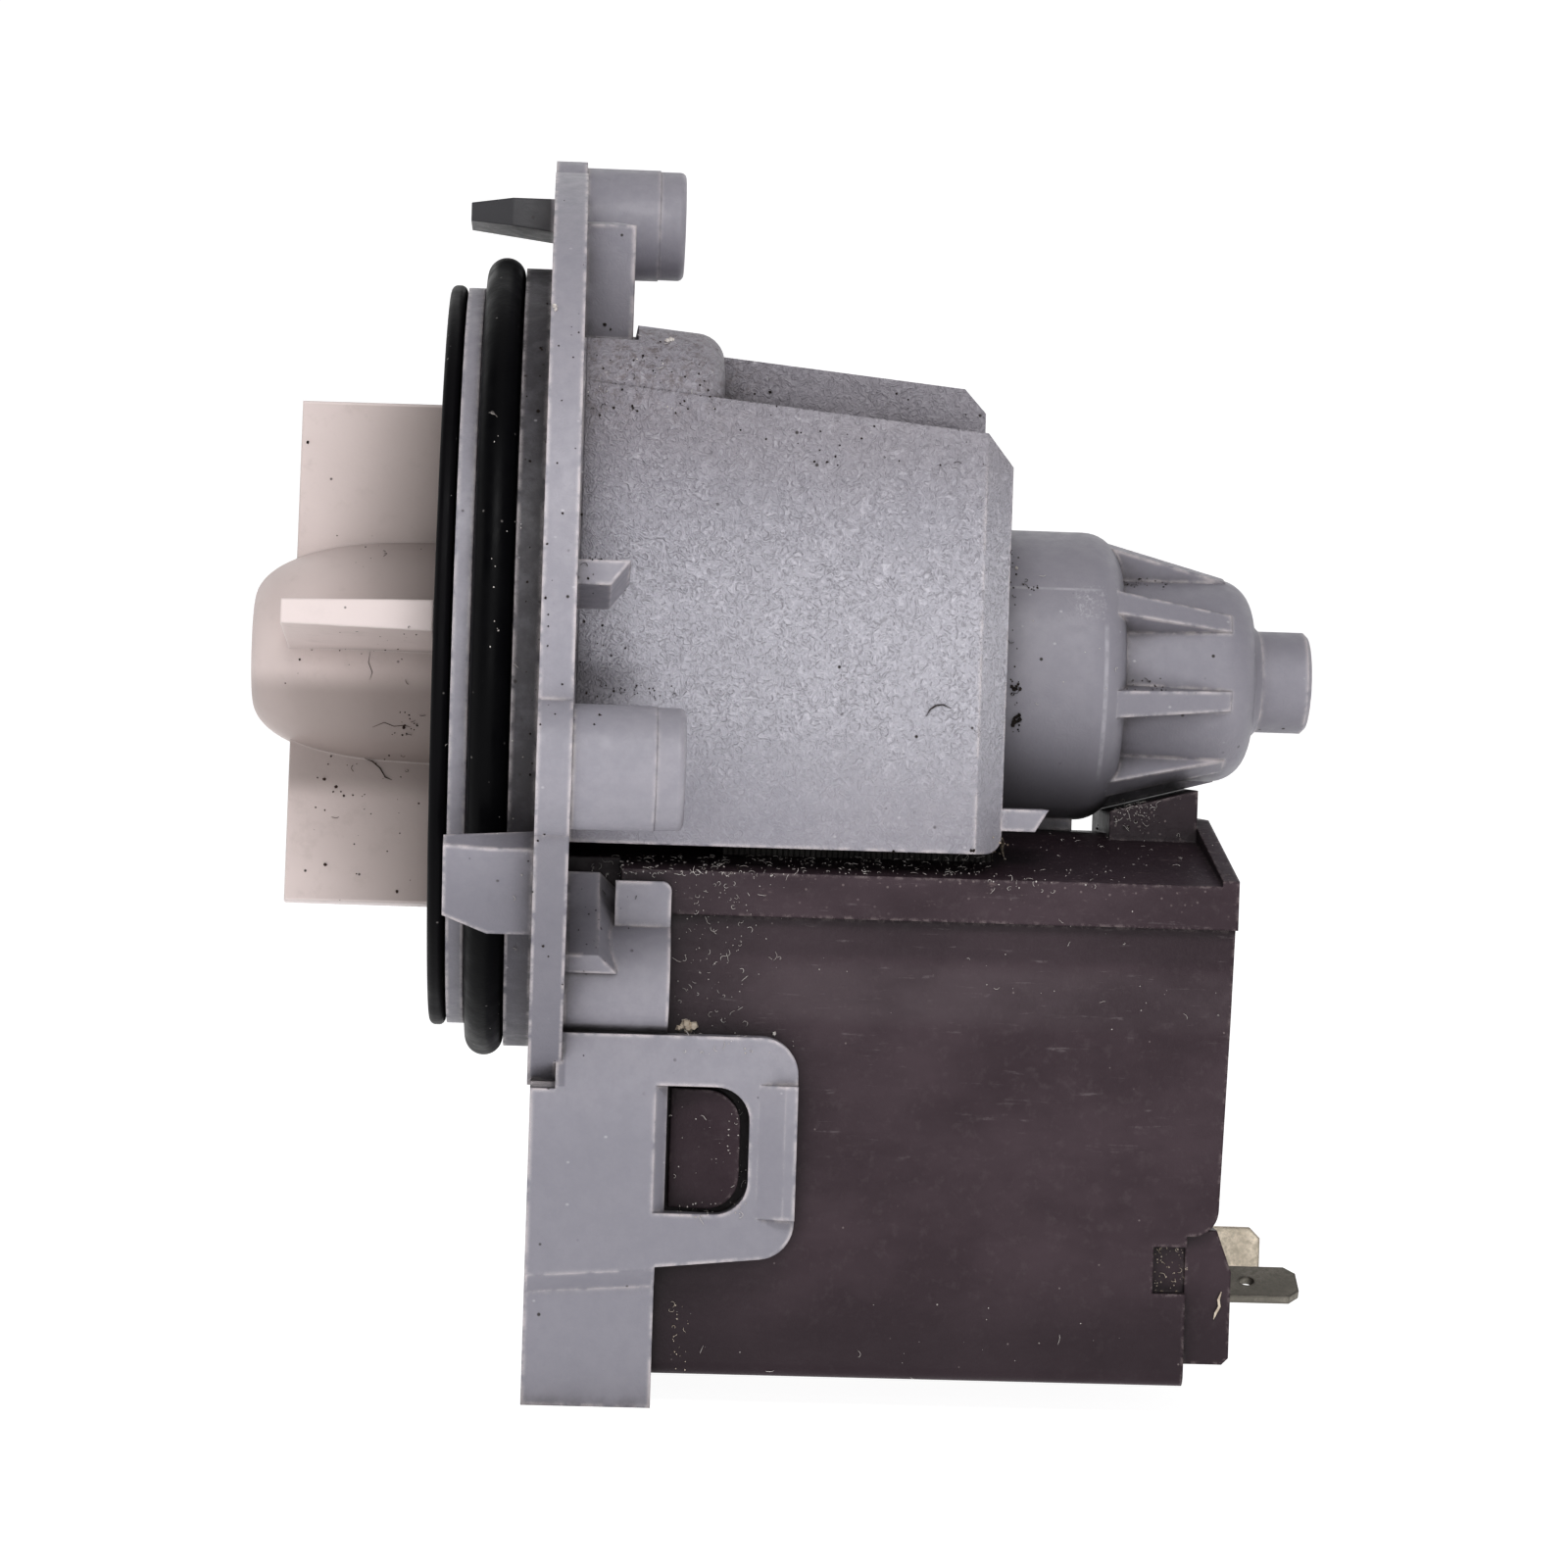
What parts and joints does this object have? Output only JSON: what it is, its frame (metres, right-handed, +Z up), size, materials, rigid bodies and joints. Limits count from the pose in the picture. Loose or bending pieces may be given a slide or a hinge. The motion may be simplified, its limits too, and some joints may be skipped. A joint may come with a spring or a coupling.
{
  "type": "washer drain pump",
  "caption": "Mains drain pump for a washing machine: flanged grey motor housing with bladed impeller, sealing ring, ribbed rotor can, dark moulded coil block and flat plug terminals.",
  "frame": {"origin": "where the shaft axis meets the front face of the mounting flange", "axes": "+X along the shaft from the impeller towards the tail stub, +Z up from the coil block towards the shroud's roof, +Y away from the near side that carries the standoff post"},
  "size_m": [0.0994, 0.095, 0.1149],
  "materials": {
    "housing_plastic": "grey moulding with fine spark-eroded texture",
    "ring_rubber": "greased black rubber",
    "plate_plastic": "black moulding, slightly satin",
    "seal_rubber": "matte black rubber",
    "cup_rubber": "matte black rubber",
    "bearing_carbon": "pressed carbon, dull",
    "washer_ceramic": "ground ceramic, satin",
    "shaft_steel": "ground stainless steel",
    "magnet_ferrite": "ground ferrite, dull",
    "carrier_plastic": "pale moulding",
    "dog_plastic": "pale glass-filled moulding",
    "impeller_plastic": "pale warm moulding, satin, dusty",
    "bumper_rubber": "matte black rubber",
    "cover_plastic": "pale moulding",
    "stack_steel": "stacked electrical sheet with dull cut edges",
    "rivet_steel": "zinc-plated steel",
    "tab_brass": "tin-plated brass, slightly speckled",
    "bobbin_plastic": "pale glass-filled moulding",
    "winding_copper": "enamelled copper wire",
    "block_plastic": "dark brown-grey moulding with satin sheen"
  },
  "bodies": {
    "motor_body": {"motor_housing": "housing_plastic", "o_ring": "ring_rubber", "back_plate": "plate_plastic", "shaft_seal": "seal_rubber", "front_bearing_cup": "cup_rubber", "rear_bearing_cup": "cup_rubber", "front_bearing": "bearing_carbon", "rear_bearing": "bearing_carbon", "front_thrust_washer": "washer_ceramic", "rear_thrust_washer": "washer_ceramic", "stator_core": "stack_steel", "core_rivets": "rivet_steel", "bobbin_near": "bobbin_plastic", "bobbin_far": "bobbin_plastic", "winding_near": "winding_copper", "winding_far": "winding_copper", "link_wire": "winding_copper", "terminal_near": "tab_brass", "terminal_far": "tab_brass", "coil_overmould": "block_plastic"},
    "rotor": {"rotor_shaft": "shaft_steel", "rotor_magnet": "magnet_ferrite", "magnet_carrier": "carrier_plastic", "drive_dog": "dog_plastic"},
    "wheel": {"impeller": "impeller_plastic", "impeller_bumper": "bumper_rubber", "hub_cover": "cover_plastic"}
  },
  "joints": [
    {"name": "rotor_spin", "type": "hinge", "parent": "motor_body", "child": "rotor", "pos_m": [0, 0, 0], "axis": [1, 0, 0], "continuous": true},
    {"name": "impeller_lost_motion", "type": "hinge", "parent": "rotor", "child": "wheel", "pos_m": [0, 0, 0], "axis": [1, 0, 0], "range_deg": [-90, 90]}
  ]
}
